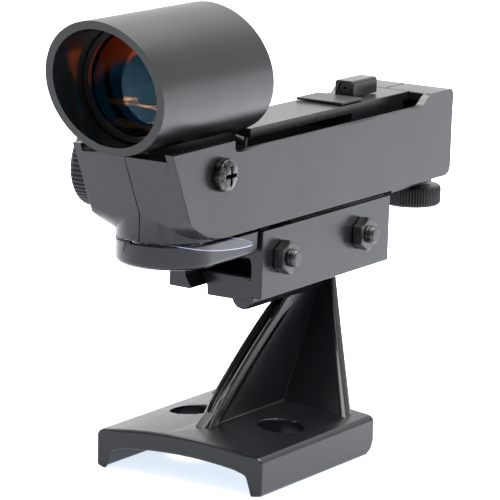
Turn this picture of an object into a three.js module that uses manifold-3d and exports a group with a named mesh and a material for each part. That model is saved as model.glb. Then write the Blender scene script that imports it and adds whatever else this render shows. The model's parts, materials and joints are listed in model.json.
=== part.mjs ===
// Red dot finder for a telescope, on its dovetail mounting bracket. Millimetres, Z up.
// The sky is towards -Y, the observer's eye towards +Y, and the clamp nuts face +X.
// Inside this file Y is counted from the front of the housing and Z from its underside;
// the whole group is moved at the end so that the origin is the bottom centre of its box.
import * as THREE from 'three';
import { mergeVertices } from 'three/addons/utils/BufferGeometryUtils.js';
import Module from 'manifold-3d';

const wasm = await Module();
wasm.setup();

// ---- driving dimensions -------------------------------------------------------------
const GAP = 0.25; // clearance left where one piece rests on another

const HOUSING_HALF = 13;
const HOUSING_LENGTH = 125.5;
const HOUSING_HEIGHT = 21.2;
const WALL = 2;
const SEAM = 0.12; // half of the gap between the two shells
const SLOT_Z = 18.5; // height of the side walls beside the deck
const SLOT_FRONT = 25.2;
const SLOT_REAR = 114.4;
const NOSE_RADIUS = 11.7; // round nose over the coin cell
const NOSE_Y = 19.2;

const TUBE_RADIUS = 15.05;
const TUBE_BORE = 13.2;
const TUBE_REAR_BORE = 12.3;
const TUBE_LENGTH = 44.4;
const TUBE_FRONT = -7.4;
const TUBE_Z = 35.1;
const TUBE_SLANT = Math.tan(THREE.MathUtils.degToRad(16.3));
const LENS_Y = 6.3;
const LENS_RADIUS = 12.9;

const DECK_HALF = 6.75;
const DECK_TOP = 21.2;
const DECK_THICK = 2.1;
const TURRET = { half: 2.6, front: 94.6, rear: 105.9, top: 25.3 };
const LED_Z = 23.45;

const COVER_TOP = -1.11;
const COVER_BOTTOM = -6.5;
const COVER_REAR = 38.0;
const CELL_RADIUS = 10;
const CELL_THICK = 3.2;

const DIAL = { radius: 9.8, y: 16.3, z: 14.2, inner: -13.5, outer: -18.3 };

const CLAMP_HALF = 12.4;
const TRENCH_HALF = 10.2; // of the trough in which the carrier swivels
const CLAMP_FRONT = 39.3;
const CLAMP_REAR = 97.1;
const CLAMP_TOP = -1.2;
const CLAMP_BOTTOM = -17;
const BOLT_Y = [47.4, 82.8];
const BOLT_Z = -8.2;
const BOLT_RADIUS = 2;

const CARRIER_TOP = -1.2;
const CARRIER_BOTTOM = -4.4;
const CARRIER_HALF = 8;
const TILT = { y: 44.3, z: -2.8, radius: 0.8 };
const SWIVEL_Y = 54;
const AZIMUTH = { y: 92, z: -2.7, radius: 1 };
const ALTITUDE = { x: 5, y: 120.5, radius: 7.4, top: -2.55, bottom: -7.5 };

const FOOT_HALF = 22.1;
const FOOT_FRONT = 25.75;
const FOOT_REAR = 76.4;
const FOOT_BOTTOM = -58.45;
const FOOT_TOP = -47.9;
const FOOT_HOLE = { x: 12, y: 50.5, radius: 5.4 };
const POST_TOP = -19;
const RAIL_TOP = -13.4;
const RAIL_BOTTOM = -19.2;
const HEAD_BOTTOM = -23.1;

// ---- materials ----------------------------------------------------------------------
const material = (color, roughness, metalness = 0, extra = {}) =>
  new THREE.MeshStandardMaterial({ color, roughness, metalness, ...extra });

const satinBlack = material(0x1b1c1e, 0.4);
const shellBlack = material(0x202123, 0.36);
const tubeBlack = material(0x1f1f20, 0.42);
const knobBlack = material(0x17181a, 0.5);
const blackSteel = material(0x2a2b2d, 0.32, 0.9);
const brightSteel = material(0xb9bcc0, 0.25, 1);
const springSteel = material(0x9ea1a6, 0.3, 1);
const brass = material(0xc59a4a, 0.3, 1);
const coatedGlass = material(0xc8623a, 0.05, 0.1, { transparent: true, opacity: 0.55 });
const clearFilm = material(0xdfe9ff, 0.08, 0, { transparent: true, opacity: 0.35 });
const redResin = material(0xb5121b, 0.15);
const boardGreen = material(0x1d5b36, 0.5);
const beige = material(0xc9b083, 0.5);
const redInsulation = material(0xa3161a, 0.45);
const blackInsulation = material(0x151515, 0.45);

// ---- solid helpers ------------------------------------------------------------------
const AXES = {
  x: new THREE.Matrix4().makeBasis(
    new THREE.Vector3(0, 1, 0),
    new THREE.Vector3(0, 0, 1),
    new THREE.Vector3(1, 0, 0),
  ),
  y: new THREE.Matrix4().makeBasis(
    new THREE.Vector3(1, 0, 0),
    new THREE.Vector3(0, 0, 1),
    new THREE.Vector3(0, -1, 0),
  ),
};

function solid(geometry) {
  const bare = new THREE.BufferGeometry();
  bare.setAttribute('position', geometry.getAttribute('position').clone());
  if (geometry.index) bare.setIndex(geometry.index.clone());
  const merged = mergeVertices(bare, 1e-4);
  const position = merged.getAttribute('position');
  const index = merged.index.array;
  const triangles = [];
  let volume = 0;
  const [a, b, c] = [new THREE.Vector3(), new THREE.Vector3(), new THREE.Vector3()];
  for (let i = 0; i < index.length; i += 3) {
    const [p, q, r] = [index[i], index[i + 1], index[i + 2]];
    if (p === q || q === r || r === p) continue;
    a.fromBufferAttribute(position, p);
    b.fromBufferAttribute(position, q);
    c.fromBufferAttribute(position, r);
    volume += a.dot(b.cross(c));
    triangles.push(p, q, r);
  }
  if (volume < 0) triangles.reverse();
  return new wasm.Manifold(
    new wasm.Mesh({
      numProp: 3,
      vertProperties: new Float32Array(position.array),
      triVerts: new Uint32Array(triangles),
    }),
  );
}

function box(x0, x1, y0, y1, z0, z1) {
  const geometry = new THREE.BoxGeometry(x1 - x0, y1 - y0, z1 - z0);
  return solid(geometry.translate((x0 + x1) / 2, (y0 + y1) / 2, (z0 + z1) / 2));
}

// a bar whose section changes from one rectangle (at z0) to another (at z1)
function taper(low, high) {
  const geometry = new THREE.BoxGeometry(1, 1, 1);
  const position = geometry.getAttribute('position');
  for (let i = 0; i < position.count; i += 1) {
    const end = position.getZ(i) < 0 ? low : high;
    const x = position.getX(i) < 0 ? -end.half : end.half;
    const y = position.getY(i) < 0 ? end.front : end.rear;
    position.setXYZ(i, x, y, end.z);
  }
  return solid(geometry);
}

const rodX = (radius, x0, x1, y, z, sides = 24) =>
  solid(
    new THREE.CylinderGeometry(radius, radius, x1 - x0, sides)
      .rotateZ(Math.PI / 2)
      .translate((x0 + x1) / 2, y, z),
  );
const rodY = (radius, y0, y1, x, z, sides = 24) =>
  solid(
    new THREE.CylinderGeometry(radius, radius, y1 - y0, sides).translate(x, (y0 + y1) / 2, z),
  );
const rodZ = (radius, z0, z1, x, y, sides = 24) =>
  solid(
    new THREE.CylinderGeometry(radius, radius, z1 - z0, sides)
      .rotateX(Math.PI / 2)
      .translate(x, y, (z0 + z1) / 2),
  );

const outlineOf = (points) => new THREE.Shape(points.map(([u, v]) => new THREE.Vector2(u, v)));

// profile in YZ, pushed along X
const alongX = (points, x0, x1) =>
  solid(
    new THREE.ExtrudeGeometry(outlineOf(points), { depth: x1 - x0, bevelEnabled: false })
      .applyMatrix4(AXES.x)
      .translate(x0, 0, 0),
  );
// profile in XZ, pushed along Y
const alongY = (points, y0, y1) =>
  solid(
    new THREE.ExtrudeGeometry(outlineOf(points), { depth: y1 - y0, bevelEnabled: false })
      .applyMatrix4(AXES.y)
      .translate(0, y1, 0),
  );
// profile in XY, pushed along Z
const alongZ = (points, z0, z1) =>
  solid(
    new THREE.ExtrudeGeometry(outlineOf(points), { depth: z1 - z0, bevelEnabled: false })
      .translate(0, 0, z0),
  );

// profile of (radius, height) pairs turned about a vertical axis
function turnedZ(profile, x, y, sides = 28) {
  const points = profile.map(([r, h]) => new THREE.Vector2(r, h));
  return solid(new THREE.LatheGeometry(points, sides).rotateX(Math.PI / 2).translate(x, y, 0));
}
// the same about an axis along X, the heights running towards +X
function turnedX(profile, y, z, sides = 28) {
  const points = profile.map(([r, h]) => new THREE.Vector2(r, h));
  return solid(new THREE.LatheGeometry(points, sides).rotateZ(-Math.PI / 2).translate(0, y, z));
}
// the same about an axis along Y
function turnedY(profile, x, z, sides = 48) {
  const points = profile.map(([r, h]) => new THREE.Vector2(r, h));
  return solid(new THREE.LatheGeometry(points, sides).translate(x, 0, z));
}

function ridges(radius, depth, count) {
  const points = [];
  for (let i = 0; i < count * 2; i += 1) {
    const angle = (Math.PI * i) / count;
    const r = i % 2 ? radius - depth : radius;
    points.push([r * Math.cos(angle), r * Math.sin(angle)]);
  }
  return points;
}

const shifted = (points, du, dv) => points.map(([u, v]) => [u + du, v + dv]);
const samples = (count) => Array.from({ length: count + 1 }, (_, i) => i / count);

function coil(radius, wire, z0, z1, turns, x, y) {
  const points = samples(turns * 14).map((t) => {
    const angle = t * turns * 2 * Math.PI;
    const height = z0 + wire + (z1 - z0 - 2 * wire) * t;
    return new THREE.Vector3(x + radius * Math.cos(angle), y + radius * Math.sin(angle), height);
  });
  return cable(points, wire, turns * 14, 6);
}

// a round wire through the points, with flat ends
function cable(points, radius, steps, sides) {
  const path = new THREE.CatmullRomCurve3(points, false, 'centripetal');
  const tube = new THREE.TubeGeometry(path, steps, radius, sides, false);
  const position = tube.getAttribute('position');
  const vertices = Array.from(position.array);
  const index = Array.from(tube.index.array);
  [0, steps].forEach((ring) => {
    const centre = path.getPointAt(ring / steps);
    const apex = vertices.length / 3;
    vertices.push(centre.x, centre.y, centre.z);
    for (let i = 0; i < sides; i += 1) {
      const p = ring * (sides + 1) + i;
      index.push(...(ring ? [apex, p + 1, p] : [apex, p, p + 1]));
    }
  });
  const closed = new THREE.BufferGeometry();
  closed.setAttribute('position', new THREE.Float32BufferAttribute(vertices, 3));
  closed.setIndex(index);
  return solid(closed);
}

const group = new THREE.Group();
group.name = 'red_dot_finder';

function piece(name, body, look) {
  const mesh = body.getMesh();
  const geometry = new THREE.BufferGeometry();
  geometry.setAttribute('position', new THREE.Float32BufferAttribute(mesh.vertProperties, 3));
  geometry.setIndex(new THREE.Uint32BufferAttribute(mesh.triVerts, 1));
  geometry.computeVertexNormals();
  const part = new THREE.Mesh(geometry, look.clone());
  part.name = name;
  group.add(part);
}

// ---- mounting bracket: arched foot, leaning post, dovetail rail ------------------------
function footProfile() {
  const half = FOOT_HALF - 1.1;
  const top = samples(10).map((t) => {
    const x = -half + 2 * half * t;
    return [x, FOOT_TOP - 1.7 * (x / half) ** 2];
  });
  const legRoot = FOOT_HALF - 4.1;
  const arch = samples(10).map((t) => {
    const x = legRoot - 2 * legRoot * t;
    return [x, FOOT_TOP - 4.5 - 1.5 * (x / legRoot) ** 2];
  });
  return [
    [-FOOT_HALF, FOOT_BOTTOM],
    [-FOOT_HALF, FOOT_TOP - 2.8],
    [-FOOT_HALF + 0.35, FOOT_TOP - 2.0],
    ...top,
    [FOOT_HALF - 0.35, FOOT_TOP - 2.0],
    [FOOT_HALF, FOOT_TOP - 2.8],
    [FOOT_HALF, FOOT_BOTTOM],
    [FOOT_HALF - 2.5, FOOT_BOTTOM],
    ...arch,
    [-FOOT_HALF + 2.5, FOOT_BOTTOM],
  ];
}

function mountingBracket() {
  let body = alongY(footProfile(), FOOT_FRONT, FOOT_REAR);
  [-1, 1].forEach((side) => {
    const { x, y, radius } = FOOT_HOLE;
    body = body.subtract(rodZ(radius, FOOT_BOTTOM, FOOT_TOP + 1, side * x, y, 40));
  });

  // longitudinal rib with a channelled flange along its leading edge
  const edge = new THREE.QuadraticBezierCurve(
    new THREE.Vector2(35, -48.6),
    new THREE.Vector2(50, -34.2),
    new THREE.Vector2(69.5, -22.4),
  );
  const curve = edge.getPoints(8).map((p) => [p.x, p.y]);
  const inward = (depth) => curve.map(([y, z]) => [y + depth * 0.66, z - depth * 0.75]);
  const rib = [...curve, [72, POST_TOP], [88.5, POST_TOP], [70, -50.4], [35.4, -50.4]];
  const flange = [...curve, ...inward(3).reverse(), [37.4, -50.4], [33.6, -50.4]];
  const channel = [...inward(-1).slice(1), ...inward(1.1).slice(1).reverse()];
  body = body.add(alongX(rib, -1.3, 1.3)).add(alongX(flange, -1.8, 1.8));
  body = body.subtract(alongX(channel, -1, 0.9));

  // leaning cross web, narrowing to the head
  body = body.add(
    taper(
      { half: 18.9, front: 68.4, rear: 71.2, z: -50.2 },
      { half: 3.4, front: 85.6, rear: 88.2, z: POST_TOP },
    ),
  );

  // head beam under the rail, rounded underneath
  const head = [
    [-2.8, POST_TOP + 0.4],
    [-2.8, HEAD_BOTTOM + 2.4],
    [-2.4, HEAD_BOTTOM + 1.2],
    [-1.4, HEAD_BOTTOM + 0.3],
    [0, HEAD_BOTTOM],
    [1.4, HEAD_BOTTOM + 0.3],
    [2.4, HEAD_BOTTOM + 1.2],
    [2.8, HEAD_BOTTOM + 2.4],
    [2.8, POST_TOP + 0.4],
  ];
  body = body.add(alongY(head, 51.2, 88));

  // male dovetail rail, wide at the top
  const rail = [
    [-5.7, RAIL_BOTTOM],
    [5.7, RAIL_BOTTOM],
    [5.7, CLAMP_BOTTOM],
    [7.5, -14.4],
    [7.5, RAIL_TOP],
    [-7.5, RAIL_TOP],
    [-7.5, -14.4],
    [-5.7, CLAMP_BOTTOM],
  ];
  body = body.add(alongY(rail, 45.3, 95.6));

  // the foot's rear lower corner is rounded
  const footSide = [
    [FOOT_FRONT, FOOT_BOTTOM],
    [FOOT_REAR - 3, FOOT_BOTTOM],
    [FOOT_REAR - 0.9, FOOT_BOTTOM + 0.9],
    [FOOT_REAR, FOOT_BOTTOM + 3],
    [FOOT_REAR, FOOT_TOP],
    [110, FOOT_TOP],
    [110, 0],
    [FOOT_FRONT, 0],
  ];
  body = body.intersect(alongX(footSide, -30, 30));
  piece('mounting_bracket', body, satinBlack);
}

// ---- clamp: fixed body with one jaw, moving jaw, two bolts with nuts --------------------
function clamp() {
  const section = [
    [CLAMP_HALF, CLAMP_TOP],
    [TRENCH_HALF, CLAMP_TOP],
    [TRENCH_HALF, -4.8],
    [-TRENCH_HALF, -4.8],
    [-TRENCH_HALF, CLAMP_TOP],
    [-CLAMP_HALF, CLAMP_TOP],
    [-CLAMP_HALF, -6],
    [6.4, -6],
    [8.8, -7],
    [9.6, -9.4],
    [9.6, -12.9],
    [8, -13.2],
    [8, -14.2],
    [6.3, CLAMP_BOTTOM],
    [CLAMP_HALF, CLAMP_BOTTOM],
  ];
  let body = alongY(section, CLAMP_FRONT, CLAMP_REAR);
  const jawSection = [
    [-CLAMP_HALF, -6 - GAP],
    [-8, -6 - GAP],
    [-8, -14.2],
    [-6.3, CLAMP_BOTTOM],
    [-CLAMP_HALF, CLAMP_BOTTOM],
  ];
  let jaw = alongY(jawSection, CLAMP_FRONT, CLAMP_REAR);
  BOLT_Y.forEach((y, i) => {
    const end = i ? 'rear' : 'front';
    const hole = rodX(BOLT_RADIUS + 0.25, -13, 13, y, BOLT_Z);
    body = body.subtract(hole);
    jaw = jaw.subtract(hole);

    const head = -CLAMP_HALF - GAP;
    const bolt = turnedX(
      [
        [0, 17],
        [1.5, 17],
        [BOLT_RADIUS, 16.5],
        [BOLT_RADIUS, head],
        [3.5, head],
        [3.5, head - 3.1],
        [3.1, head - 3.5],
        [0, head - 3.5],
      ],
      y,
      BOLT_Z,
      24,
    ).subtract(rodX(1.7, head - 4, head - 1.6, y, BOLT_Z, 6));
    piece(`clamp_bolt_${end}`, bolt, blackSteel);

    const nut = rodX(6.9 / Math.sqrt(3), CLAMP_HALF + GAP, CLAMP_HALF + 2.8, y, BOLT_Z, 6)
      .intersect(
        turnedX(
          [
            [0, CLAMP_HALF],
            [4.2, CLAMP_HALF],
            [4.2, CLAMP_HALF + 2.4],
            [3.4, CLAMP_HALF + 2.8],
            [0, CLAMP_HALF + 2.8],
          ],
          y,
          BOLT_Z,
          24,
        ),
      )
      .subtract(rodX(BOLT_RADIUS + 0.12, CLAMP_HALF - 1, CLAMP_HALF + 5, y, BOLT_Z));
    piece(`clamp_nut_${end}`, nut, blackSteel);
  });
  body = body.subtract(rodZ(2.3, -7, 0, 0, SWIVEL_Y));
  body = body.subtract(rodX(AZIMUTH.radius + 0.25, -13, -9, AZIMUTH.y, AZIMUTH.z, 16));
  piece('clamp_body', body, satinBlack);
  piece('clamp_jaw', jaw, satinBlack);
}

// ---- azimuth carrier: turns on the swivel pin, pushed by the side knob ------------------
function azimuthCarrier() {
  let body = box(-CARRIER_HALF, CARRIER_HALF, 42.7, 98.6, CARRIER_BOTTOM, CARRIER_TOP);
  body = body.add(box(-CARRIER_HALF, CARRIER_HALF, 98, 106, -2.2, CARRIER_TOP));
  body = body.add(box(-2.5, 8.7, 104, 124.2, -2.2, CARRIER_TOP));
  body = body.subtract(rodX(TILT.radius + 0.2, -9, 9, TILT.y, TILT.z, 16));
  body = body.subtract(rodZ(2.3, -5, 0, 0, SWIVEL_Y));
  body = body.subtract(rodZ(3.9, -2.6, 0, 0, SWIVEL_Y));
  body = body.subtract(rodZ(2.3, -5, 0, ALTITUDE.x, ALTITUDE.y));
  // channel for the azimuth screw and pocket for its square nut
  const { y } = AZIMUTH;
  body = body.subtract(box(-9, 0.6, y - 1.5, y + 1.5, -5, 0));
  body = body.subtract(box(-5, -2, y - 2.85, y + 2.85, -5, 0));
  piece('azimuth_carrier', body, satinBlack);

  const pin = turnedZ(
    [
      [0, -1.5],
      [3.6, -1.5],
      [3.6, -2.3],
      [2, -2.3],
      [2, -6.25],
      [3, -6.25],
      [3, -6.9],
      [0, -6.9],
    ],
    0,
    SWIVEL_Y,
  );
  piece('swivel_pin', pin, brightSteel);
  piece('tilt_pin', rodX(TILT.radius, -9.4, 9.4, TILT.y, TILT.z, 16), brightSteel);

  const nut = box(-4.7, -2.3, y - 2.6, y + 2.6, -4.5, -0.9);
  piece(
    'azimuth_nut',
    nut.subtract(rodX(AZIMUTH.radius + 0.3, -5, -2, y, AZIMUTH.z, 16)),
    brass,
  );
  const screw = turnedX(
    [
      [0, -1.2],
      [0.7, -1.2],
      [AZIMUTH.radius, -1.5],
      [AZIMUTH.radius, -12.9],
      [1.6, -12.9],
      [1.6, -15],
      [AZIMUTH.radius, -15],
      [AZIMUTH.radius, -17.5],
      [0, -17.5],
    ],
    y,
    AZIMUTH.z,
    16,
  );
  piece('azimuth_screw', screw, brightSteel);
  const knob = alongX(shifted(ridges(5.3, 0.3, 24), y, AZIMUTH.z), -19.6, -15.1);
  piece('azimuth_knob', knob.subtract(rodX(1.2, -17.8, -14, y, AZIMUTH.z, 16)), knobBlack);
}

// ---- altitude adjuster under the tail ---------------------------------------------------
function altitudeAdjuster() {
  const { x, y, radius, top, bottom } = ALTITUDE;
  let knob = alongZ(shifted(ridges(radius, 0.34, 34), x, y), bottom + 0.35, top - 0.35);
  const rim = radius - 0.3;
  knob = knob.add(
    turnedZ(
      [
        [0, top],
        [rim - 0.5, top],
        [rim, top - 0.5],
        [rim, bottom + 0.5],
        [rim - 0.5, bottom],
        [rim - 1.4, bottom],
        [rim - 1.6, bottom + 0.6],
        [0, bottom + 0.6],
      ],
      x,
      y,
      30,
    ),
  );
  knob = knob.subtract(rodZ(2.1, bottom + 2.2, top + 1, x, y));
  piece('altitude_knob', knob, knobBlack);

  const screw = turnedZ(
    [
      [0, 10.5],
      [1.4, 10.5],
      [1.85, 10],
      [1.85, bottom + 2.5],
      [0, bottom + 2.5],
    ],
    x,
    y,
    20,
  );
  piece('altitude_screw', screw, brightSteel);
  piece('altitude_spring', coil(3, 0.35, CARRIER_TOP + 0.1, 3.1, 3, x, y), springSteel);
  const insert = rodZ(3, 3.6, 8, x, y, 28).subtract(rodZ(2.5, 3, 9, x, y, 28));
  piece('altitude_insert', insert, brass);
}

// ---- housing: two shells with a lofted nose ---------------------------------------------
function noseOutline(t, inset) {
  const rest = 1 - t;
  const z = 21.3 * rest * rest + 4 * t * rest + inset * t;
  const side = 24 * t * t + inset * rest;
  const line = (21.3 - z) * 0.487 + inset;
  const half = HOUSING_HALF - inset;
  const shoulder = Math.max(side, line + 0.02);
  const points = samples(18).map((s) => {
    const angle = Math.PI * s;
    return [half * Math.cos(angle), shoulder - (shoulder - line) * Math.sin(angle)];
  });
  points.push([-half, HOUSING_LENGTH - inset], [half, HOUSING_LENGTH - inset]);
  return { z, points };
}

function loft(levels) {
  const count = levels[0].points.length;
  const vertices = [];
  levels.forEach(({ z, points }) => points.forEach(([x, y]) => vertices.push(x, y, z)));
  const index = [];
  const last = (levels.length - 1) * count;
  for (let i = 1; i < count - 1; i += 1) {
    const [p, q] = [(count - 1 + i) % count, (count + i) % count];
    index.push(count - 1, p, q, last + count - 1, last + q, last + p);
  }
  for (let level = 0; level < levels.length - 1; level += 1) {
    for (let i = 0; i < count; i += 1) {
      const p = level * count + i;
      const q = level * count + ((i + 1) % count);
      index.push(p, p + count, q, q, p + count, q + count);
    }
  }
  const geometry = new THREE.BufferGeometry();
  geometry.setAttribute('position', new THREE.Float32BufferAttribute(vertices, 3));
  geometry.setIndex(index);
  return solid(geometry);
}

function housingShell() {
  const rows = samples(12);
  const outer = loft(rows.map((t) => noseOutline(t, 0)));
  const inside = rows.map((t) => noseOutline(t, WALL));
  inside.unshift({ z: 26, points: inside[0].points });
  const hollow = loft(inside).subtract(box(-14, 14, SLOT_REAR - 0.3, 130, DECK_TOP - 2, 30));

  const side = [
    [-1, 0],
    [HOUSING_LENGTH - 2.2, 0],
    [HOUSING_LENGTH - 0.65, 0.65],
    [HOUSING_LENGTH, 2.2],
    [HOUSING_LENGTH, HOUSING_HEIGHT - 0.8],
    [HOUSING_LENGTH - 0.8, HOUSING_HEIGHT],
    [-1, HOUSING_HEIGHT],
  ];
  const slot = [
    [SLOT_FRONT, 30],
    [SLOT_FRONT, 19.6],
    [SLOT_FRONT + 0.6, 18.8],
    [SLOT_FRONT + 1.8, SLOT_Z],
    [SLOT_REAR - 4.8, SLOT_Z],
    [SLOT_REAR - 3.2, 19.3],
    [SLOT_REAR - 1.8, 20.4],
    [SLOT_REAR, HOUSING_HEIGHT],
    [SLOT_REAR, 30],
  ];
  return outer
    .intersect(alongX(side, -14, 14))
    .add(rodZ(NOSE_RADIUS, -0.3, 6.2, 0, NOSE_Y, 64))
    .add(box(-NOSE_RADIUS, NOSE_RADIUS, NOSE_Y, 36.5, -0.3, 1))
    .subtract(hollow)
    .subtract(alongX(slot, -14, 14))
    .subtract(box(-11, 11, -1, 4, 19.4, 30))
    .subtract(box(-DECK_HALF - GAP, DECK_HALF + GAP, 110, SLOT_REAR, 18.9, 30))
    .subtract(box(-3, 3, 16, 24, -1, 3))
    .subtract(box(-3.4, 3.4, 29, 31.4, -1, 3))
    .subtract(box(-9.5, 9.5, 41.4, 60, -1, 3))
    .add(box(8.3, 9.6, 42.3, 46.6, -4.2, 0.8))
    .add(box(-9.6, -8.3, 42.3, 46.6, -4.2, 0.8))
    .add(box(8.3, 11.5, 41, 47, 0, 1.5))
    .add(box(-11.5, -8.3, 41, 47, 0, 1.5))
    .subtract(rodX(TILT.radius + 0.2, -10, 10, TILT.y, TILT.z, 16));
}

const SHELL_SCREWS = [
  { name: 'housing_screw_front', y: 19.7, z: 14.5, side: 1 },
  { name: 'housing_screw_middle', y: 78, z: 8, side: -1 },
  { name: 'housing_screw_rear', y: 108, z: 10, side: -1 },
];

function panScrew({ name, y, z, side }) {
  const face = HOUSING_HALF + GAP;
  const profile = [
    [0, face + 2.6],
    [1.9, face + 2.5],
    [3.1, face + 2.2],
    [3.65, face + 1.7],
    [3.8, face + 1],
    [3.8, face],
    [1.5, face],
    [1.5, -2.6],
    [0, -3.4],
  ];
  let body = turnedX(profile, 0, 0, 28);
  const depth = face + 1;
  body = body.subtract(box(depth, face + 4, -2.2, 2.2, -0.42, 0.42));
  body = body.subtract(box(depth, face + 4, -0.42, 0.42, -2.2, 2.2));
  if (side < 0) body = body.rotate([0, 0, 180]);
  piece(name, body.translate([0, y, z]), blackSteel);
}

function housing() {
  let shell = housingShell();
  const bore = rodZ(4.4, -1, 3, ALTITUDE.x, ALTITUDE.y, 28);
  shell = shell.subtract(bore);
  let right = shell.intersect(box(SEAM, 20, -5, 130, -6, 30));
  let left = shell.intersect(box(-20, -SEAM, -5, 130, -6, 30));

  // boss that holds the threaded insert of the altitude screw
  const { x, y } = ALTITUDE;
  right = right.add(
    rodZ(4.2, 3.3, 8.2, x, y, 28)
      .add(box(x, 11.5, y - 1, y + 1, 3.3, 8.2))
      .subtract(rodZ(3.15, 3, 7.9 + GAP + 1, x, y, 28)),
  );

  // screw bosses: long on the screw side, blind on the other
  SHELL_SCREWS.forEach((screw) => {
    const near = rodX(2.5, SEAM, 11.6, screw.y, screw.z, 20);
    const far = rodX(2.5, -11.6, -SEAM, screw.y, screw.z, 20);
    if (screw.side > 0) {
      right = right.add(near);
      const rib = box(-3.9, -SEAM, screw.y - 2.5, screw.y + 2.5, 1, screw.z + 2.4);
      left = left.add(rib);
    } else {
      right = right.add(near);
      left = left.add(far);
    }
    const hole = rodX(1.7, -4.6 * screw.side, 14 * screw.side, screw.y, screw.z, 16);
    right = right.subtract(hole);
    left = left.subtract(hole);
  });

  // posts under the circuit board and ledges under the deck tongue
  [45, 65].forEach((at) => {
    right = right.add(box(5, 7, at, at + 2, 1, 6.7)).add(box(7, 11.5, at, at + 2, 1, 6.7));
    left = left.add(box(-7, -5, at, at + 2, 1, 6.7)).add(box(-11.5, -7, at, at + 2, 1, 6.7));
  });
  right = right.add(box(3.6, 11.5, 31, 37, 12.6, 14.9));
  left = left.add(box(-11.5, -3.6, 31, 37, 12.6, 14.9));
  left = left.subtract(rodX(2, -14, -10, DIAL.y, DIAL.z, 24));

  piece('housing_right', right, shellBlack);
  piece('housing_left', left, shellBlack);
  SHELL_SCREWS.forEach(panScrew);
}

// ---- deck, emitter turret and lens tube ---------------------------------------------------
function deck() {
  const bottom = DECK_TOP - DECK_THICK;
  let body = box(-DECK_HALF, DECK_HALF, 41.8, SLOT_REAR - GAP, bottom, DECK_TOP);
  body = body.add(box(-5, 5, 30, 44, 15.2, 17.1)).add(box(-5, 5, 41.8, 44, 15.2, 20));
  const skirt = box(-DECK_HALF, DECK_HALF, 87, 111.6, 14.8, 20);
  body = body.add(skirt.subtract(box(-5.2, 5.2, 88.8, 112, 14, bottom)));
  body = body.add(box(-5, 5, 108, 120.5, 16.6, 18.9));
  body = body.add(box(-5.5, 5.5, 108, 111, 16.6, 20));
  body = body.subtract(rodZ(1.5, 16, 22, 0, 100.4, 16));
  body = body.subtract(rodZ(1.4, 14, 18, 0, 35, 16));
  piece('sight_deck', body, shellBlack);

  const top = DECK_TOP + GAP;
  const plate = [
    [-6.3, 83],
    [6.3, 83],
    [6.3, 92.4],
    [5.5, 93.2],
    [-5.5, 93.2],
    [-6.3, 92.4],
  ];
  piece('emitter_plate', alongZ(plate, top, top + 0.55), knobBlack);

  const { half, front, rear } = TURRET;
  const hood = [
    [-half, top],
    [half, top],
    [half, TURRET.top - 0.5],
    [half - 0.5, TURRET.top],
    [-half + 0.5, TURRET.top],
    [-half, TURRET.top - 0.5],
  ];
  let turret = alongY(hood, front, rear);
  turret = turret.subtract(rodY(1.65, front - 1, 102.4, 0, LED_Z, 20));
  turret = turret.subtract(rodZ(1.5, 21, LED_Z, 0, 100.4, 16));
  piece('emitter_turret', turret, satinBlack);

  const led = [
    [0, 95.7],
    [0.9, 95.9],
    [1.4, 96.5],
    [1.4, 98.7],
    [0, 98.7],
  ];
  piece('red_led', turnedY(led, 0, LED_Z, 18), redResin);
  const mask = rodY(1.5, 94.9, 95.3, 0, LED_Z, 20).subtract(rodY(0.35, 94, 96, 0, LED_Z, 8));
  piece('pinhole_mask', mask, blackSteel);
}

function slanted(geometry) {
  const position = geometry.getAttribute('position');
  for (let i = 0; i < position.count; i += 1) {
    position.setY(i, position.getY(i) - (position.getZ(i) - TUBE_Z) * TUBE_SLANT);
  }
  return solid(geometry);
}

function lensTube() {
  const rear = TUBE_FRONT + TUBE_LENGTH;
  const seat = LENS_Y + 1.5;
  const barrel = (radius, y0, y1, sides) =>
    new THREE.CylinderGeometry(radius, radius, y1 - y0, sides)
      .translate(0, (y0 + y1) / 2, TUBE_Z);
  const outer = slanted(barrel(TUBE_RADIUS, TUBE_FRONT, rear, 72));
  const foot = box(-3.6, 3.6, 5, 40.6, 17.4, 24);
  const body = outer
    .add(foot)
    .subtract(solid(barrel(TUBE_BORE, TUBE_FRONT - 10, seat, 72)))
    .subtract(solid(barrel(TUBE_REAR_BORE, seat - 1, seat + 4.7, 72)))
    .subtract(solid(barrel(TUBE_REAR_BORE - 0.8, seat, seat + 7, 72)))
    .subtract(solid(barrel(TUBE_REAR_BORE, seat + 6.1, rear + 10, 72)))
    .subtract(rodZ(1.2, 16, 20.5, 0, 35, 16));
  piece('lens_tube', body, tubeBlack);

  // meniscus lens, bulging towards the sky, resting on the step of the bore
  const sag = (r) => 1.6 * (r / LENS_RADIUS) ** 2;
  const face = samples(4).map((t) => [LENS_RADIUS * t, LENS_Y - 2.2 + sag(LENS_RADIUS * t)]);
  const back = samples(4)
    .reverse()
    .map((t) => [LENS_RADIUS * t, LENS_Y - 0.3 + sag(LENS_RADIUS * t)]);
  piece('reflex_lens', turnedY([...face, ...back], 0, TUBE_Z, 44), coatedGlass);

  const front = LENS_Y - 2.6;
  const ring = [
    [LENS_RADIUS + 0.05, front],
    [LENS_RADIUS + 0.05, front + 1.7],
    [11.7, front + 1.2],
    [11.7, front],
    [LENS_RADIUS + 0.05, front],
  ];
  piece('lens_retaining_ring', turnedY(ring, 0, TUBE_Z, 44), satinBlack);

  const screw = turnedZ(
    [
      [0, 20.2],
      [1, 19.8],
      [1, 15 - GAP],
      [2.4, 15 - GAP],
      [2.4, 13.6],
      [0, 13.2],
    ],
    0,
    35,
    20,
  );
  piece('tube_screw', screw, brightSteel);
}

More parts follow.
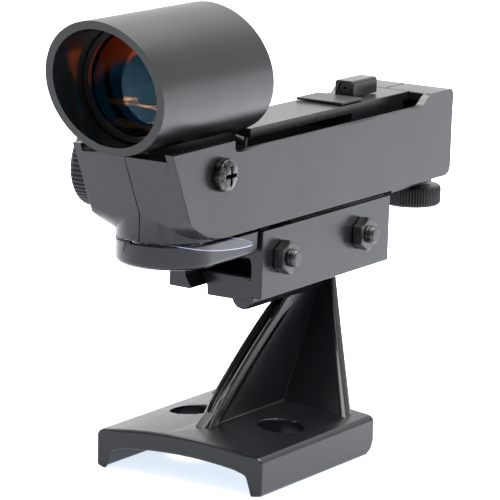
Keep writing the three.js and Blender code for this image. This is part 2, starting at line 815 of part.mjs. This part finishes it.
// ---- brightness dial and electronics -------------------------------------------------------
function electronics() {
  const { radius, y, z, inner, outer } = DIAL;
  let dial = alongX(shifted(ridges(radius, 0.4, 40), y, z), outer + 0.3, inner - 0.3);
  dial = dial.add(
    turnedX(
      [
        [0, inner],
        [radius - 0.8, inner],
        [radius - 0.35, inner - 0.5],
        [radius - 0.35, outer + 0.5],
        [radius - 0.8, outer],
        [6.6, outer],
        [6.3, outer + 0.6],
        [0, outer + 0.6],
      ],
      y,
      z,
      32,
    ),
  );
  dial = dial.subtract(rodX(1.75, outer + 2, inner + 1, y, z));
  piece('brightness_dial', dial, knobBlack);
  piece('dial_shaft', rodX(1.5, outer + 2.3, -8.6, y, z, 20), brightSteel);
  const pot = rodX(6, -10.7, -6.9, y, z, 28).subtract(rodX(1.8, -12, -8.2, y, z, 20));
  piece('potentiometer', pot, knobBlack);

  piece('circuit_board', box(-8.5, 8.5, 44, 72, 7, 8.2), boardGreen);
  const resistor = rodX(1.1, -3, 3, 52, 10.1, 16)
    .add(rodX(0.3, -4.4, 4.4, 52, 10.1, 8))
    .add(rodZ(0.3, 8.45, 10.2, -4.2, 52, 8))
    .add(rodZ(0.3, 8.45, 10.2, 4.2, 52, 8));
  piece('resistor', resistor, beige);

  const wirePath = (side) =>
    [
      [side * 2.4, 69, 8.9],
      [side * 2.4, 76, 12.2],
      [side * 1.6, 86, 13.2],
      [side * 1.2, 95, 14],
      [side * 0.8, 99.8, 17],
      [side * 0.75, 100.4, 22.6],
    ].map(([px, py, pz]) => new THREE.Vector3(px, py, pz));
  piece('led_wire_red', cable(wirePath(1), 0.42, 18, 8), redInsulation);
  piece('led_wire_black', cable(wirePath(-1), 0.42, 18, 8), blackInsulation);
}

// ---- battery compartment --------------------------------------------------------------------
function roundedTongue(radius, rear) {
  const points = samples(20).map((t) => {
    const angle = Math.PI * (1 + t);
    return [radius * Math.cos(angle), NOSE_Y + radius * Math.sin(angle)];
  });
  points.push([radius, rear], [-radius, rear]);
  return points;
}

function battery() {
  const edge = 1.5;
  const outline = outlineOf(roundedTongue(NOSE_RADIUS - edge, COVER_REAR - edge));
  let cover = solid(
    new THREE.ExtrudeGeometry(outline, {
      depth: 8,
      bevelEnabled: true,
      bevelThickness: edge,
      bevelSize: edge,
      bevelSegments: 3,
    }).translate(0, 0, COVER_BOTTOM + edge),
  );
  cover = cover.subtract(box(-14, 14, 0, 50, COVER_TOP, 10));
  const floor = COVER_TOP - CELL_THICK - 0.4;
  cover = cover.subtract(rodZ(CELL_RADIUS + 0.3, floor, 0, 0, NOSE_Y, 48));
  cover = cover.subtract(box(-3.4, 3.4, 28, 30.9, floor, 0));
  cover = cover.subtract(box(-9.4, 9.4, 32.4, 36.2, floor, 0));
  cover = cover.add(box(-4.4, -2.6, 7.9, 9, COVER_TOP - 1, COVER_TOP + 0.5));
  cover = cover.add(box(-10.8, 10.8, 37.2, COVER_REAR, COVER_TOP - 1, COVER_TOP + 0.75));
  piece('battery_cover', cover, satinBlack);

  const cellTop = COVER_TOP - 0.12;
  const cell = [
    [0, cellTop],
    [8.7, cellTop],
    [8.9, cellTop - 0.45],
    [CELL_RADIUS - 0.3, cellTop - 0.5],
    [CELL_RADIUS, cellTop - 0.8],
    [CELL_RADIUS, cellTop - CELL_THICK + 0.3],
    [CELL_RADIUS - 0.3, cellTop - CELL_THICK],
    [0, cellTop - CELL_THICK],
  ];
  piece('coin_battery', turnedZ(cell, 0, NOSE_Y, 40), brightSteel);

  const tab = new THREE.Shape();
  const reach = 8.2;
  tab.absarc(20.5 - reach, NOSE_Y, reach, -Math.PI / 2, Math.PI / 2);
  tab.absarc(-21.8 + 3.4, NOSE_Y + reach - 3.4, 3.4, Math.PI / 2, Math.PI);
  tab.absarc(-21.8 + 3.4, NOSE_Y - reach + 3.4, 3.4, Math.PI, 1.5 * Math.PI);
  const film = new THREE.ExtrudeGeometry(tab, {
    depth: 0.15,
    bevelEnabled: false,
    curveSegments: 14,
  }).translate(0, 0, COVER_TOP + 0.12);
  piece('battery_pull_tab', solid(film), clearFilm);

  const negative = rodZ(4.5, -0.7, -0.45, 0, NOSE_Y, 24)
    .add(box(-2.8, -0.8, 22.7, 23, -0.6, 4.6))
    .add(box(-2.8, -0.8, 22.7, 46, 4.3, 4.6));
  piece('battery_contact_negative', negative, springSteel);
  const positive = box(0.4, 3, 29.75, 30.05, -4, 5.9)
    .add(box(0.4, 3, 29.75, 46, 5.6, 5.9));
  piece('battery_contact_positive', positive, springSteel);
}

mountingBracket();
clamp();
azimuthCarrier();
altitudeAdjuster();
housing();
deck();
lensTube();
electronics();
battery();

const foremost = TUBE_FRONT - TUBE_RADIUS * TUBE_SLANT;
const rearmost = ALTITUDE.y + ALTITUDE.radius;
group.position.set(0, -(foremost + rearmost) / 2, -FOOT_BOTTOM);

export default group;
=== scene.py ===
"""Looks of the red dot finder. Metres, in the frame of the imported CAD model."""

import json
import math

import bmesh
import bpy
from mathutils import Matrix, Vector


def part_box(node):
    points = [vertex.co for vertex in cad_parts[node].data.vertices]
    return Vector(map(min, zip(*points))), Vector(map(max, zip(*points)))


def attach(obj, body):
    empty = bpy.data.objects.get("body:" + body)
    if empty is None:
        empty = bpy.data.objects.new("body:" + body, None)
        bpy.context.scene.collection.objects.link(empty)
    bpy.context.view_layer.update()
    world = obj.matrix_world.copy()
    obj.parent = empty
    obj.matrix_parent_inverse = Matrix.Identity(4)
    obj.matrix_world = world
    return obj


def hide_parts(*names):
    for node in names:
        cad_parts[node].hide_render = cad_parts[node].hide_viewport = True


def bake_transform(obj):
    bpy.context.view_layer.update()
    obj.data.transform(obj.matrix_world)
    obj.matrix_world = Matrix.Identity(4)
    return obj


MM = 0.001

# camera: its place in metres, its turn in degrees, and its lens in millimetres
CAMERA_PLACE = (0.40292, -0.66379, 0.20767)
CAMERA_AZIMUTH, CAMERA_ELEVATION, CAMERA_ROLL = 31.41, 11.6, -1.87
SENSOR_WIDTH, FOCAL_LENGTH = 36, 247.2
CLIP_END = 50

# studio: a white tent, two soft lamps and a pale floor
TENT_FRONT, TENT_BACK = 1.1, 1.46
TENT_COLOUR = (0.975, 0.985, 1.0, 1)
WARM, NEUTRAL = (1.0, 0.975, 0.935), (1.0, 1.0, 1.0)
TOP_POWER, LEFT_POWER = 100, 4
FLOOR_HALF, FLOOR_DROP = 4, 0.0001
PAPER_COLOUR = (0.47, 0.48, 0.50, 1)
PAPER_GLOW, PAPER_GLOW_STRENGTH = (0.80, 0.88, 1.0, 1), 0.9

# CAD pieces: coincident points are joined, and faces closer to flat than this are one face
WELD_DISTANCE = 0.002 * MM
FLAT_ANGLE = math.radians(0.4)

# lens, in millimetres
LENS_SAG, LENS_THICKNESS, LENS_EYE = 1.6, 1.9, 0.15
LENS_STEPS, LENS_SIDES = 10, 96

# thread on the ends of the clamp bolts, in millimetres
THREAD_PITCH, THREAD_CORE, THREAD_RIDGE = 0.7, 1.94, 0.12

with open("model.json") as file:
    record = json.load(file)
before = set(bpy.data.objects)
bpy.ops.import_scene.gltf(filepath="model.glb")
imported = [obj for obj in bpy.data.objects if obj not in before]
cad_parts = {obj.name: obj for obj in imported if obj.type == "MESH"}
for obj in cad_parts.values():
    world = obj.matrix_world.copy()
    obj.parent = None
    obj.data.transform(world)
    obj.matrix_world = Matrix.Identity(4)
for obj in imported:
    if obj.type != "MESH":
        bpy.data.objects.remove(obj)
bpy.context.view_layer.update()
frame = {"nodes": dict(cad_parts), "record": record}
scene = bpy.context.scene


# ---- camera, light and floor ---------------------------------------------------------
def add_camera():
    azimuth, elevation, roll = (
        math.radians(v) for v in (CAMERA_AZIMUTH, CAMERA_ELEVATION, CAMERA_ROLL)
    )
    right = Vector((math.cos(azimuth), math.sin(azimuth), 0))
    back = Vector(
        (
            math.sin(azimuth) * math.cos(elevation),
            -math.cos(azimuth) * math.cos(elevation),
            math.sin(elevation),
        )
    )
    up = back.cross(right)
    side = right * math.cos(roll) - up * math.sin(roll)
    top = right * math.sin(roll) + up * math.cos(roll)
    data = bpy.data.cameras.new("camera")
    data.sensor_width = SENSOR_WIDTH
    data.lens = FOCAL_LENGTH
    data.clip_end = CLIP_END
    camera = bpy.data.objects.new("camera", data)
    pose = Matrix((side, top, back)).transposed().to_4x4()
    pose.translation = Vector(CAMERA_PLACE)
    camera.matrix_world = pose
    scene.collection.objects.link(camera)
    scene.camera = camera


def softbox(name, place, target, size, power, colour):
    data = bpy.data.lights.new(name, "AREA")
    data.shape = "RECTANGLE"
    data.size, data.size_y = size
    data.energy = power
    data.color = colour
    light = bpy.data.objects.new(name, data)
    light.location = place
    aim = Vector(target) - Vector(place)
    light.rotation_euler = aim.to_track_quat("-Z", "Y").to_euler()
    scene.collection.objects.link(light)


def add_tent():
    """A white tent all round, brighter behind the object than on the observer's side of it."""
    world = bpy.data.worlds.new("studio")
    world.use_nodes = True
    tree = world.node_tree
    way = tree.nodes.new("ShaderNodeTexCoord").outputs["Generated"]
    split = tree.nodes.new("ShaderNodeSeparateXYZ")
    level = tree.nodes.new("ShaderNodeMapRange")
    level.interpolation_type = "SMOOTHSTEP"
    front, back = -0.9, 0.8
    for socket, value in zip(level.inputs[1:5], (front, back, TENT_FRONT, TENT_BACK)):
        socket.default_value = value
    shade = tree.nodes["Background"]
    shade.inputs["Color"].default_value = TENT_COLOUR
    tree.links.new(way, split.inputs["Vector"])
    tree.links.new(split.outputs["Y"], level.inputs["Value"])
    tree.links.new(level.outputs["Result"], shade.inputs["Strength"])
    scene.world = world
    scene.view_settings.view_transform = "Standard"


def add_floor():
    mesh = bpy.data.meshes.new("floor")
    plane = bmesh.new()
    bmesh.ops.create_grid(plane, x_segments=8, y_segments=8, size=FLOOR_HALF)
    plane.to_mesh(mesh)
    plane.free()
    floor = bpy.data.objects.new("floor", mesh)
    floor.location.z = -FLOOR_DROP
    scene.collection.objects.link(floor)
    paper = bpy.data.materials.new("pale_paper")
    paper.use_nodes = True
    shader = paper.node_tree.nodes["Principled BSDF"]
    shader.inputs["Base Color"].default_value = PAPER_COLOUR
    shader.inputs["Roughness"].default_value = 0.6
    shader.inputs["Emission Color"].default_value = PAPER_GLOW
    shader.inputs["Emission Strength"].default_value = PAPER_GLOW_STRENGTH
    mesh.materials.append(paper)


def add_studio():
    add_tent()
    softbox("light_above", (0.05, 0.35, 1.3), (0.05, 0.3, 0), (1.7, 1.7), TOP_POWER, WARM)
    softbox("light_left", (-0.8, 0.1, 0.5), (0, 0, 0.06), (0.4, 0.4), LEFT_POWER, NEUTRAL)
    add_floor()


# ---- materials -------------------------------------------------------------------------
class Look:
    """A Principled material whose colour, roughness and relief vary over the surface.

    A noise's scale is in its patches per metre.
    """

    def __init__(self, name):
        self.name = name
        self.material = bpy.data.materials.new(name)
        self.material.use_nodes = True
        self.tree = self.material.node_tree
        self.link = self.tree.links.new
        self.shader = self.tree.nodes["Principled BSDF"]
        self.place = self.tree.nodes.new("ShaderNodeTexCoord").outputs["Object"]

    def set(self, **values):
        for name, value in values.items():
            self.shader.inputs[name.replace("_", " ")].default_value = value
        return self

    def stretched(self, scale):
        node = self.tree.nodes.new("ShaderNodeMapping")
        node.inputs["Scale"].default_value = scale
        self.link(self.place, node.inputs["Vector"])
        return node.outputs["Vector"]

    def noise(self, scale, detail=3.0, stretch=None):
        node = self.tree.nodes.new("ShaderNodeTexNoise")
        node.inputs["Scale"].default_value = scale
        node.inputs["Detail"].default_value = detail
        place = self.stretched(stretch) if stretch else self.place
        self.link(place, node.inputs["Vector"])
        return node.outputs["Fac"]

    def ramp(self, factor, stops):
        """Colours at rising positions, blended in between."""
        node = self.tree.nodes.new("ShaderNodeValToRGB")
        elements = node.color_ramp.elements
        for position, colour in stops[1:-1]:
            elements.new(position).color = colour
        elements[0].position, elements[0].color = stops[0]
        elements[-1].position, elements[-1].color = stops[-1]
        self.link(factor, node.inputs["Fac"])
        return node.outputs["Color"]

    def map_range(self, value, start, end, low=0.0, high=1.0):
        """low where value is at start or below it, high at end, and evenly in between."""
        node = self.tree.nodes.new("ShaderNodeMapRange")
        for name, number in zip(("From Min", "From Max", "To Min", "To Max"), (start, end, low, high)):
            node.inputs[name].default_value = number
        self.link(value, node.inputs["Value"])
        return node.outputs["Result"]

    def weighted(self, first, second, weight):
        """first plus weight times second."""
        node = self.tree.nodes.new("ShaderNodeMath")
        node.operation = "MULTIPLY_ADD"
        node.inputs[1].default_value = weight
        self.link(second, node.inputs[0])
        self.link(first, node.inputs[2])
        return node.outputs["Value"]

    def colour(self, low, high, scale):
        stops = [(0.3, (*low, 1)), (0.7, (*high, 1))]
        self.link(self.ramp(self.noise(scale, 4.0), stops), self.shader.inputs["Base Color"])
        return self

    def roughness(self, low, high, scale):
        rough = self.map_range(self.noise(scale), 0.3, 0.7, low, high)
        self.link(rough, self.shader.inputs["Roughness"])
        return self

    def relief(self, scale, height, strength):
        node = self.tree.nodes.new("ShaderNodeBump")
        node.inputs["Strength"].default_value = strength
        node.inputs["Distance"].default_value = height
        self.link(self.noise(scale, 2.0), node.inputs["Height"])
        self.link(node.outputs["Normal"], self.shader.inputs["Normal"])
        return self


def moulded(name, low, high, rough):
    """Satin moulded plastic with a fine spark-eroded grain."""
    look = Look(name).colour(low, high, 55)
    look.roughness(rough - 0.02, rough + 0.02, 90)
    look.relief(2600, 0.012 * MM, 0.2)
    return look.set(IOR=1.34)


def metal(name, low, high, rough, scale=900):
    """Metal with small patches of slightly different gloss."""
    look = Look(name).colour(low, high, 260)
    look.roughness(rough - 0.06, rough + 0.08, scale)
    look.relief(scale * 2, 0.004 * MM, 0.5)
    return look.set(Metallic=1.0)


def screw_steel():
    """Blackened steel whose finish is glossy and uneven."""
    look = Look("screw_steel").colour((0.008, 0.008, 0.009), (0.085, 0.083, 0.08), 900)
    look.roughness(0.14, 0.36, 1300)
    look.relief(1500, 0.03 * MM, 0.5)
    return look.set(Metallic=1.0)


def tube_plastic():
    """The lens tube's plastic, which is polished inside the bore."""
    look = moulded("tube_plastic", (0.004, 0.004, 0.004), (0.006, 0.006, 0.006), 0.30)
    bore, outside = 13.3 * MM, 13.6 * MM

    def vector_maths(operation, value, other=None):
        node = look.tree.nodes.new("ShaderNodeVectorMath")
        node.operation = operation
        look.link(value, node.inputs[0])
        if other is not None:
            node.inputs[1].default_value = other
        return node.outputs

    offset = vector_maths("SUBTRACT", look.place, centre_of("lens_retaining_ring"))[0]
    across = vector_maths("MULTIPLY", offset, (1, 0, 1))[0]
    radius = vector_maths("LENGTH", across)["Value"]
    share = look.map_range(radius, bore, outside, 0.35, 1.0)
    product = look.tree.nodes.new("ShaderNodeMath")
    product.operation = "MULTIPLY"
    rough = look.shader.inputs["Roughness"]
    look.link(rough.links[0].from_socket, product.inputs[0])
    look.link(share, product.inputs[1])
    look.link(product.outputs["Value"], rough)
    return look


def red_coat_and_painted_reflection():
    """A thin layer that throws red light back, with painted reflection in its colour: red strongest high
    up on the lens, dark teal lower down.
    """
    look = Look("red_coat_and_painted_reflection")
    low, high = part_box("reflex_lens")
    split = look.tree.nodes.new("ShaderNodeSeparateXYZ")
    look.link(look.place, split.inputs["Vector"])
    height = look.map_range(split.outputs["Z"], low[2], high[2])
    across = look.map_range(split.outputs["X"], low[0], high[0])
    slope = look.weighted(height, across, -0.7)
    slope = look.weighted(slope, look.noise(70), 0.25)
    teal_end, red_start = 0.50, 0.57
    # painted reflection: red high up and to the left on the lens, dark teal lower down
    painted_reflection_bands = look.ramp(
        slope,
        [
            (0.30, (0.000, 0.012, 0.02, 1)),
            (teal_end, (0.01, 0.03, 0.035, 1)),
            (red_start, (0.85, 0.14, 0.02, 1)),
            (0.80, (0.70, 0.07, 0.005, 1)),
        ],
    )

    # painted reflection: pale orange streaks low down on the lens
    painted_reflection_streaks = look.weighted(look.noise(230, stretch=(0.5, 1, 2.2)), height, -0.55)
    pale = look.ramp(painted_reflection_streaks, [(0.36, (0, 0, 0, 1)), (0.46, (1, 1, 1, 1))])
    both = look.tree.nodes.new("ShaderNodeMix")
    both.data_type = "RGBA"
    look.link(pale, both.inputs["Factor"])
    look.link(painted_reflection_bands, both.inputs["A"])
    # painted reflection: the pale orange colour of the streaks
    both.inputs["B"].default_value = (0.5, 0.25, 0.11, 1)
    look.link(both.outputs["Result"], look.shader.inputs["Base Color"])
    look.roughness(0.09, 0.13, 60)

    # the layer shows only in the painted red reflection and the painted pale streaks
    share = 0.3
    zone = look.map_range(slope, teal_end, red_start, 0.0, share)
    look.link(look.weighted(zone, pale, share), look.shader.inputs["Alpha"])
    return look.set(Metallic=1.0)


def tinted_glass():
    look = Look("tinted_glass").colour((0.003, 0.041, 0.094), (0.008, 0.064, 0.131), 90)
    look.set(Transmission_Weight=1.0, IOR=1.45, Roughness=0.0)
    return look.set(Specular_Tint=(0.17, 0.40, 0.52, 1))


def red_resin():
    look = Look("red_resin").colour((0.16, 0.004, 0.006), (0.24, 0.008, 0.01), 300)
    look.roughness(0.08, 0.16, 500)
    return look.set(Transmission_Weight=0.4, IOR=1.5)


def clear_film():
    look = Look("clear_film").colour((0.75, 0.82, 0.95), (0.88, 0.92, 1.0), 80)
    look.roughness(0.05, 0.12, 240)
    return look.set(Alpha=0.04, IOR=1.5, Coat_Weight=0.3)


def film_edge_painted_highlight():
    """The cut edge of the film, coloured pale blue as a painted highlight."""
    look = Look("film_edge_painted_highlight").colour((0.40, 0.46, 0.75), (0.60, 0.66, 0.95), 400)
    look.roughness(0.15, 0.3, 500)
    return look.set(Alpha=0.6, IOR=1.5)


def make_looks():
    # the two colours that a piece varies between, then its roughness
    plastics = {
        "bracket_plastic": ((0.0035, 0.0035, 0.0045), (0.0055, 0.0055, 0.0075), 0.24),
        "shell_plastic": ((0.004, 0.004, 0.005), (0.008, 0.008, 0.009), 0.28),
        "knob_plastic": ((0.004, 0.004, 0.005), (0.007, 0.007, 0.008), 0.38),
        "green_laminate": ((0.003, 0.014, 0.006), (0.005, 0.022, 0.009), 0.4),
        "beige_ceramic": ((0.4, 0.31, 0.17), (0.52, 0.42, 0.26), 0.45),
        "red_insulation": ((0.3, 0.01, 0.01), (0.42, 0.02, 0.02), 0.4),
        "black_insulation": ((0.012, 0.012, 0.013), (0.02, 0.02, 0.02), 0.4),
    }
    metals = {
        "bright_steel": ((0.5, 0.51, 0.53), (0.62, 0.63, 0.64), 0.24),
        "spring_steel": ((0.38, 0.39, 0.41), (0.5, 0.51, 0.52), 0.3),
        "nickel": ((0.55, 0.56, 0.57), (0.66, 0.66, 0.66), 0.22),
        "brass": ((0.55, 0.36, 0.13), (0.68, 0.47, 0.2), 0.28),
    }
    looks = [moulded(name, *values) for name, values in plastics.items()]
    looks += [metal(name, *values) for name, values in metals.items()]
    looks.append(metal("nut_steel", (0.03, 0.03, 0.031), (0.065, 0.065, 0.068), 0.32, scale=500))
    looks += [screw_steel(), tube_plastic(), red_resin(), clear_film(), film_edge_painted_highlight()]
    looks += [tinted_glass(), red_coat_and_painted_reflection()]
    return {look.name: look.material for look in looks}


# ---- finishing the CAD pieces ---------------------------------------------------------
NODE_LOOKS = {
    "bracket_plastic": "mounting_bracket clamp_body clamp_jaw azimuth_carrier emitter_turret "
    "battery_cover lens_retaining_ring",
    "shell_plastic": "housing_right housing_left sight_deck",
    "tube_plastic": "lens_tube",
    "knob_plastic": "azimuth_knob altitude_knob brightness_dial emitter_plate potentiometer "
    "pinhole_mask",
    "nut_steel": "clamp_bolt_front clamp_bolt_rear clamp_nut_front clamp_nut_rear",
    "screw_steel": "housing_screw_front housing_screw_middle housing_screw_rear",
    "bright_steel": "swivel_pin tilt_pin azimuth_screw altitude_screw tube_screw dial_shaft",
    "spring_steel": "altitude_spring battery_contact_negative battery_contact_positive",
    "nickel": "coin_battery",
    "brass": "azimuth_nut altitude_insert",
    "green_laminate": "circuit_board",
    "beige_ceramic": "resistor",
    "red_insulation": "led_wire_red",
    "black_insulation": "led_wire_black",
    "red_resin": "red_led",
    "clear_film": "battery_pull_tab",
    "tinted_glass": "reflex_lens",
}
# width in millimetres, for edges sharper than the angle in degrees
BEVELS = {
    "mounting_bracket": (0.75, 32),
    "clamp_body": (0.3, 30),
    "clamp_jaw": (0.3, 30),
    "housing_right": (0.22, 45),
    "housing_left": (0.22, 45),
    "sight_deck": (0.25, 30),
    "lens_tube": (0.16, 30),
    "battery_cover": (0.2, 30),
    "emitter_turret": (0.25, 30),
    "azimuth_carrier": (0.2, 30),
    "battery_pull_tab": (0, 30),
    "led_wire_red": (0, 50),
    "led_wire_black": (0, 50),
    "altitude_spring": (0, 60),
}
OTHER_BEVEL = (0.12, 32)


def finish_node(name, width, angle):
    """Rounds the edges of a CAD piece and shades its curved faces smoothly."""
    node = frame["nodes"][name]
    for polygon in node.data.polygons:
        polygon.use_smooth = True
    weld = node.modifiers.new("weld", "WELD")
    weld.merge_threshold = WELD_DISTANCE
    flat = node.modifiers.new("planar", "DECIMATE")
    flat.decimate_type = "DISSOLVE"
    flat.angle_limit = FLAT_ANGLE
    if width:
        bevel = node.modifiers.new("bevel", "BEVEL")
        # measured along the edges that meet, so that no corner runs out into a spike
        bevel.offset_type = "ABSOLUTE"
        bevel.width = width * MM
        bevel.segments = 3
        bevel.limit_method = "ANGLE"
        bevel.angle_limit = math.radians(angle)
        bevel.use_clamp_overlap = False
        bevel.miter_outer = "MITER_ARC"
    even = node.modifiers.new("even_normals", "WEIGHTED_NORMAL")
    even.weight = 90
    even.keep_sharp = True


def dress_nodes(looks):
    for look, names in NODE_LOOKS.items():
        for name in names.split():
            node = frame["nodes"][name]
            node.data.materials.clear()
            node.data.materials.append(looks[look])
            finish_node(name, *BEVELS.get(name, OTHER_BEVEL))


# ---- pieces built here ------------------------------------------------------------------
def centre_of(node):
    low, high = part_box(node)
    return (Vector(low) + Vector(high)) / 2


def body_of(node):
    bodies = frame["record"]["behaviour"]["bodies"]
    return next(body for body, nodes in bodies.items() if node in nodes)


def new_piece(name, bm, material, smooth=True):
    bmesh.ops.recalc_face_normals(bm, faces=bm.faces)
    mesh = bpy.data.meshes.new(name)
    bm.to_mesh(mesh)
    bm.free()
    for polygon in mesh.polygons:
        polygon.use_smooth = smooth
    mesh.materials.append(material)
    piece = bpy.data.objects.new(name, mesh)
    scene.collection.objects.link(piece)
    return piece


def skinned(loops):
    """A closed solid through loops of points that each have the same number of points."""
    bm = bmesh.new()
    rings = [[bm.verts.new(point) for point in loop] for loop in loops]
    for low, high in zip(rings, rings[1:]):
        for i in range(len(low)):
            j = (i + 1) % len(low)
            bm.faces.new((low[i], low[j], high[j], high[i]))
    bm.faces.new(rings[0])
    bm.faces.new(rings[-1])
    return bm


def along(axis, centre):
    """Returns what turns (across, across, along) millimetres into a point in metres."""
    order = {"x": (2, 0, 1), "y": (0, 2, 1), "z": (0, 1, 2)}[axis]

    def point(*offset):
        return Vector([c + offset[i] * MM for c, i in zip(centre, order)])

    return point


def turned(rings, sides, place, ribs=0):
    """A solid of revolution from (radius, height, rib depth) rings in millimetres.

    place is from along(). Ribs run along the axis.
    """
    loops = []
    for radius, height, depth in rings:
        loop = []
        for i in range(sides):
            angle = 2 * math.pi * i / sides
            wave = 0.5 + 0.5 * math.cos(ribs * angle)
            r = radius - depth * (1 - wave**0.7)
            loop.append(place(r * math.cos(angle), r * math.sin(angle), height))
        loops.append(loop)
    return skinned(loops)


# node: its axis, its ribs, the width of the rim round its dished face, and how deep the ribs are
KNOBS = {
    "altitude_knob": ("z", 64, 1.9, 0.34),
    "azimuth_knob": ("x", 44, 1.5, 0.34),
    "brightness_dial": ("x", 58, 3.0, 0.5),
}


def ribbed_knob(node, looks, axis, ribs, face, depth):
    """A knob with a ribbed belt, rounded rims and a dished outer face."""
    low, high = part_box(node)
    length, width = (0, 2) if axis == "x" else (2, 1)
    half = (high[length] - low[length]) / 2 / MM
    radius = (high[width] - low[width]) / 2 / MM
    hub, middle, dish = 0.9, 2.2, 0.55
    edge = radius - face
    rings = [
        (hub, -half + dish, 0),
        (edge - 0.5, -half + dish, 0),
        (edge - 0.2, -half + dish - 0.1, 0),
        (edge, -half + 0.1, 0),
        (edge + 0.25, -half, 0),
    ]
    # how far in from the belt, how far from the end, and how deep the ribs are there
    rim = [(0.85, 0, 0), (0.55, 0.08, 0.02), (0.3, 0.28, 0.08), (0.1, 0.5, depth * 0.8), (0, 0.8, depth)]
    rings += [(radius - inset, -half + drop, groove) for inset, drop, groove in rim]
    rings += [(radius - inset, half - drop, groove) for inset, drop, groove in reversed(rim)]
    rings.append((middle, half, 0))
    bm = turned(rings, ribs * 8, along(axis, centre_of(node)), ribs)
    piece = new_piece(f"{node}_ribbed", bm, looks["knob_plastic"])
    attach(piece, body_of(node))
    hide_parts(node)


def add_knobs(looks):
    for node, values in KNOBS.items():
        ribbed_knob(node, looks, *values)


def add_lens(looks):
    """The tinted glass and, on its sky side, the thin red-reflecting coating, which carries painted
    reflection.
    """
    low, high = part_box("reflex_lens")
    centre = centre_of("reflex_lens")
    radius = (high[0] - low[0]) / 2 / MM
    place = along("y", Vector((centre.x, low[1], centre.z)))

    def surface(offset, radii):
        return [(r, LENS_SAG * (r / radius) ** 2 + offset, 0) for r in radii]

    inward = [radius * (1 - i / LENS_STEPS) for i in range(LENS_STEPS)] + [LENS_EYE]
    outward = inward[::-1]
    glass = surface(LENS_THICKNESS - 0.02, outward) + surface(0.12, inward)
    skin = surface(0.06, outward) + surface(0.03, inward)
    body = new_piece("reflex_lens_glass", turned(glass, LENS_SIDES, place), looks["tinted_glass"])
    # the coat wears the red coating with its painted reflection
    coat = new_piece("reflex_lens_coat_and_painted_reflection", turned(skin, LENS_SIDES, place), looks["red_coat_and_painted_reflection"])
    for piece in (body, coat):
        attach(piece, "sight")
        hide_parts("reflex_lens")


def add_film(looks):
    """The battery's clear pull tab: a thin film with rounded ends that curl up a little."""
    low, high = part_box("battery_pull_tab")
    reach = (high[1] - low[1]) / 2
    middle = (high[1] + low[1]) / 2
    corner = 3.4 * MM
    curl_start, curl_length, curl_height = 11.5 * MM, 9 * MM, 0.4 * MM
    ripple_height, ripple_rate = 0.05 * MM, 420
    lengths, widths = 96, 16

    def half_width(x):
        if x > high[0] - reach:
            return math.sqrt(max(reach**2 - (x - high[0] + reach) ** 2, 1e-10))
        if x < low[0] + corner:
            return reach - corner + math.sqrt(max(corner**2 - (low[0] + corner - x) ** 2, 0))
        return reach

    def lift(x, y):
        over = max(abs(x) - curl_start, 0) / curl_length
        return curl_height * over**2 + ripple_height * over * math.sin(y * ripple_rate)

    def sheet(z):
        rows = []
        for i in range(lengths + 1):
            t = 0.5 - 0.5 * math.cos(math.pi * i / lengths)
            x = low[0] + (high[0] - low[0]) * t
            across = [middle + half_width(x) * (2 * j / widths - 1) for j in range(widths + 1)]
            rows.append([bm.verts.new((x, y, z + lift(x, y))) for y in across])
        for a, b in zip(rows, rows[1:]):
            for j in range(widths):
                bm.faces.new((a[j], a[j + 1], b[j + 1], b[j]))
        return rows

    bm = bmesh.new()
    bottom, top = sheet(low[2]), sheet(high[2])
    rim = [(i, 0) for i in range(lengths)] + [(lengths, j) for j in range(widths)]
    rim += [(i, widths) for i in range(lengths, 0, -1)] + [(0, j) for j in range(widths, 0, -1)]
    for (i, j), (k, m) in zip(rim, rim[1:] + rim[:1]):
        side = bm.faces.new((bottom[i][j], bottom[k][m], top[k][m], top[i][j]))
        # the cut edges take the second material, a painted highlight
        side.material_index = 1
    piece = new_piece("battery_pull_tab_film", bm, looks["clear_film"], smooth=False)
    piece.data.materials.append(looks["film_edge_painted_highlight"])
    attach(piece, "pull_tab")
    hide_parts("battery_pull_tab")


def add_threads(looks):
    """Thread ridges on the bolt ends that stand out of the nuts."""
    sides, rows, fading_rows = 48, 30, 4
    hidden, chamfer = 0.3, 0.5
    for end in ("front", "rear"):
        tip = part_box(f"clamp_bolt_{end}")[1][0]
        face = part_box(f"clamp_nut_{end}")[1][0]
        centre = centre_of(f"clamp_nut_{end}")
        start = (face - centre.x) / MM - hidden
        stop = (tip - centre.x) / MM - chamfer
        place = along("x", centre)
        loops = []
        for j in range(rows + 1):
            height = start + (stop - start) * j / rows
            ridge = THREAD_RIDGE * min(1.0, (rows - j) / fading_rows)
            loop = []
            for i in range(sides):
                angle = 2 * math.pi * i / sides
                phase = (height / THREAD_PITCH - i / sides) % 1.0
                r = THREAD_CORE + ridge * (1 - abs(2 * phase - 1))
                loop.append(place(r * math.cos(angle), r * math.sin(angle), height))
            loops.append(loop)
        piece = new_piece(f"clamp_bolt_thread_{end}", skinned(loops), looks["nut_steel"])
        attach(piece, f"bolt_{end}")


def add_spring(looks):
    """The altitude spring, as a fixed coil of wire; the real spring stretches as the housing tilts."""
    low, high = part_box("altitude_spring")
    centre = centre_of("altitude_spring")
    wire = 0.35 * MM
    radius = (high[0] - low[0]) / 2 - wire
    turns, steps, around = 3, 40, 10
    loops = []
    for i in range(turns * steps + 1):
        t = i / (turns * steps)
        angle = 2 * math.pi * turns * t
        out = Vector((math.cos(angle), math.sin(angle), 0))
        z = low[2] + wire + (high[2] - low[2] - 2 * wire) * t
        core = Vector((centre.x, centre.y, z)) + out * radius
        loop = []
        for k in range(around):
            a = 2 * math.pi * k / around
            loop.append(core + out * (wire * math.cos(a)) + Vector((0, 0, wire * math.sin(a))))
        loops.append(loop)
    piece = new_piece("altitude_spring_coil", skinned(loops), looks["spring_steel"])
    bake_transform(piece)
    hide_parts("altitude_spring")


add_camera()
add_studio()
looks = make_looks()
dress_nodes(looks)
add_knobs(looks)
add_lens(looks)
add_film(looks)
add_threads(looks)
add_spring(looks)
